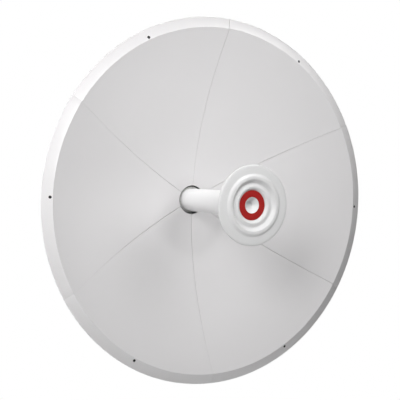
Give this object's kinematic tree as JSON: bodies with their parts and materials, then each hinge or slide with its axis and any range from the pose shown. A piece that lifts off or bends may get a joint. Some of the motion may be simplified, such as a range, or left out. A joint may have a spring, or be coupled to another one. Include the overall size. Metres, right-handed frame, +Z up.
{
  "type": "segmented parabolic dish antenna",
  "caption": "White parabolic dish antenna made of radial petals, with a central feed tube carrying a stepped round cap, and a rear bracket that clamps a round mast.",
  "frame": {"origin": "centre of the flat rear face of the mast bracket's plate", "axes": "+Z up along the mast, -Y the way the dish looks, +X to the right for someone facing the dish"},
  "size_m": [0.6496, 0.467, 0.6496],
  "materials": {
    "shell_white": "satin white powder coat",
    "feed_white": "satin moulded white",
    "ring_red": "satin red",
    "cast_grey": "as cast",
    "zinc_sheet": "galvanised",
    "bolt_steel": "stainless",
    "housing_grey": "fine moulded grain",
    "jack_metal": "nickel plated"
  },
  "bodies": {
    "root": {"petal_1": "shell_white", "petal_2": "shell_white", "petal_3": "shell_white", "petal_4": "shell_white", "petal_5": "shell_white", "petal_6": "shell_white", "feed_tube": "feed_white", "cap_cone": "feed_white", "cap_disc": "feed_white", "cap_ring": "ring_red", "hub_casting": "cast_grey", "tilt_bracket": "zinc_sheet", "mast_bracket": "zinc_sheet", "pivot_bolt_left": "bolt_steel", "pivot_bolt_right": "bolt_steel", "lock_bolt_left": "bolt_steel", "lock_bolt_right": "bolt_steel", "feed_housing": "housing_grey", "housing_cover": "housing_grey", "rf_jack_left": "jack_metal", "rf_jack_right": "jack_metal", "cradle_upper": "zinc_sheet", "cradle_lower": "zinc_sheet", "jaw_upper": "zinc_sheet", "jaw_lower": "zinc_sheet", "clamp_rod_1": "bolt_steel", "clamp_rod_2": "bolt_steel", "clamp_rod_3": "bolt_steel", "clamp_rod_4": "bolt_steel"}
  },
  "joints": []
}
